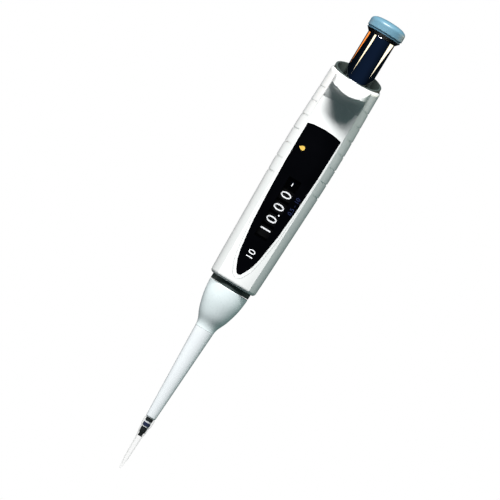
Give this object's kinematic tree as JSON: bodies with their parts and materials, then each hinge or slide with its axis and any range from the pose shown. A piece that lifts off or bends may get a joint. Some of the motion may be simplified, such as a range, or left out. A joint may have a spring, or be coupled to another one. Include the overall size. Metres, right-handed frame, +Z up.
{
  "type": "mechanical pipette",
  "caption": "Hand-held adjustable-volume mechanical pipette with a digit counter, press button, tip ejector and disposable tip.",
  "frame": {"origin": "centre of the orifice at the end of the disposable tip", "axes": "+Z up along the plunger axis, tip down and button up; the display and finger hook face -Y, the ejector key is at +Y, +X is to the right seen from the display side"},
  "size_m": [0.0286, 0.047, 0.2503],
  "materials": {
    "white_shell": "satin moulded",
    "white_ejector": "polished",
    "black_window": "gloss",
    "smoke_glass": "gloss",
    "grey_collar": "satin",
    "black_plastic": "matt",
    "frame_plastic": "matt",
    "steel": "turned",
    "chrome": "mirror",
    "brass": "turned",
    "cap_blue": "satin",
    "cone_white": "satin",
    "ring_blue": "satin",
    "seal_ptfe": "waxy",
    "o_ring_rubber": "matt",
    "wheel_black": "matt",
    "gear_acetal": "waxy",
    "tip_clear": "clear"
  },
  "bodies": {
    "handle": {"rear_shell": "white_shell", "front_panel": "white_shell", "display_window": "black_window", "counter_glass": "smoke_glass", "top_collar": "grey_collar", "button_bushing": "black_plastic", "neck_ring": "grey_collar", "lower_frame": "frame_plastic", "upper_frame": "frame_plastic", "frame_pillars": "steel", "frame_feet": "white_shell", "pinion_shaft": "steel", "tip_cone": "cone_white", "cone_rings": "ring_blue", "retaining_ring": "steel", "piston_seal": "seal_ptfe", "seal_o_ring": "o_ring_rubber", "seal_washer": "steel", "seal_spring": "steel", "seal_retainer": "brass", "return_spring": "steel", "blowout_spring": "steel", "ejector_bracket": "white_shell", "ejector_spring": "steel"},
    "drag_ring": {"drag_ring": "black_plastic"},
    "adjust_screw": {"adjust_screw": "steel"},
    "plunger": {"plunger_rod": "steel", "button_sleeve": "chrome", "button_base": "black_plastic", "button_cap": "cap_blue", "piston": "steel", "piston_head": "brass"},
    "drive_sleeve": {"drive_sleeve": "wheel_black"},
    "cluster_gear": {"cluster_gear": "gear_acetal"},
    "tens_wheel": {"tens_wheel": "wheel_black"},
    "units_wheel": {"units_wheel": "wheel_black"},
    "tenths_wheel": {"tenths_wheel": "wheel_black"},
    "hundredths_wheel": {"hundredths_wheel": "wheel_black"},
    "carry_pinion_1": {"carry_pinion_1": "gear_acetal"},
    "carry_pinion_2": {"carry_pinion_2": "gear_acetal"},
    "carry_pinion_3": {"carry_pinion_3": "gear_acetal"},
    "ejector": {"ejector_sleeve": "white_ejector", "ejector_collar": "white_ejector", "ejector_rod": "steel", "ejector_key": "white_ejector"},
    "tip": {"pipette_tip": "tip_clear"}
  },
  "joints": [
    {"name": "screw_travel", "type": "slide", "parent": "handle", "child": "drag_ring", "axis": [0, 0, 1], "range_m": [-0.0095, 0]},
    {"name": "volume_adjust", "type": "hinge", "parent": "drag_ring", "child": "adjust_screw", "pos_m": [0, 0, 0.14], "axis": [0, 0, 1], "range_deg": [-6840, 0]},
    {"name": "button_press", "type": "slide", "parent": "adjust_screw", "child": "plunger", "axis": [0, 0, 1], "range_m": [-0.013, 0], "stiffness_N_per_m": 250, "springref_m": 0.008, "deforming": ["return_spring", "blowout_spring"]},
    {"name": "ejector_press", "type": "slide", "parent": "handle", "child": "ejector", "axis": [0, 0, 1], "range_m": [-0.008, 0], "stiffness_N_per_m": 400, "springref_m": 0.004, "deforming": ["ejector_spring"]},
    {"name": "tip_release", "type": "slide", "parent": "handle", "child": "tip", "axis": [0, 0, 1], "range_m": [-0.008, 0]},
    {"name": "drive_sleeve_turn", "type": "hinge", "parent": "handle", "child": "drive_sleeve", "pos_m": [0, 0, 0.14], "axis": [0, 0, 1], "range_deg": [-6840, 0]},
    {"name": "cluster_gear_turn", "type": "hinge", "parent": "handle", "child": "cluster_gear", "pos_m": [0.00473, 0.01015, 0.14], "axis": [0, 0, 1], "range_deg": [0, 42750]},
    {"name": "hundredths_wheel_turn", "type": "hinge", "parent": "handle", "child": "hundredths_wheel", "pos_m": [0, 0, 0.14], "axis": [0, 0, 1], "range_deg": [-17100, 0]},
    {"name": "tenths_wheel_turn", "type": "hinge", "parent": "handle", "child": "tenths_wheel", "pos_m": [0, 0, 0.14], "axis": [0, 0, 1], "range_deg": [-3420, 0]},
    {"name": "units_wheel_turn", "type": "hinge", "parent": "handle", "child": "units_wheel", "pos_m": [0, 0, 0.14], "axis": [0, 0, 1], "range_deg": [-342, 0]},
    {"name": "tens_wheel_turn", "type": "hinge", "parent": "handle", "child": "tens_wheel", "pos_m": [0, 0, 0.14], "axis": [0, 0, 1], "range_deg": [-34.2, 0]},
    {"name": "carry_pinion_3_turn", "type": "hinge", "parent": "handle", "child": "carry_pinion_3", "pos_m": [0.00473, 0.01015, 0.14], "axis": [0, 0, 1], "range_deg": [0, 8550]},
    {"name": "carry_pinion_2_turn", "type": "hinge", "parent": "handle", "child": "carry_pinion_2", "pos_m": [0.00473, 0.01015, 0.14], "axis": [0, 0, 1], "range_deg": [0, 855]},
    {"name": "carry_pinion_1_turn", "type": "hinge", "parent": "handle", "child": "carry_pinion_1", "pos_m": [0.00473, 0.01015, 0.14], "axis": [0, 0, 1], "range_deg": [0, 85.5]}
  ],
  "couplings": [
    {"joint": "volume_adjust", "follows": "screw_travel", "rad_per_m": 12566},
    {"joint": "tip_release", "follows": "ejector_press", "ratio": 1},
    {"joint": "drive_sleeve_turn", "follows": "screw_travel", "rad_per_m": 12566},
    {"joint": "cluster_gear_turn", "follows": "screw_travel", "rad_per_m": -78540},
    {"joint": "hundredths_wheel_turn", "follows": "screw_travel", "rad_per_m": 31416},
    {"joint": "tenths_wheel_turn", "follows": "screw_travel", "rad_per_m": 6283.2},
    {"joint": "units_wheel_turn", "follows": "screw_travel", "rad_per_m": 628.32},
    {"joint": "tens_wheel_turn", "follows": "screw_travel", "rad_per_m": 62.832},
    {"joint": "carry_pinion_3_turn", "follows": "screw_travel", "rad_per_m": -15708},
    {"joint": "carry_pinion_2_turn", "follows": "screw_travel", "rad_per_m": -1570.8},
    {"joint": "carry_pinion_1_turn", "follows": "screw_travel", "rad_per_m": -157.08}
  ]
}
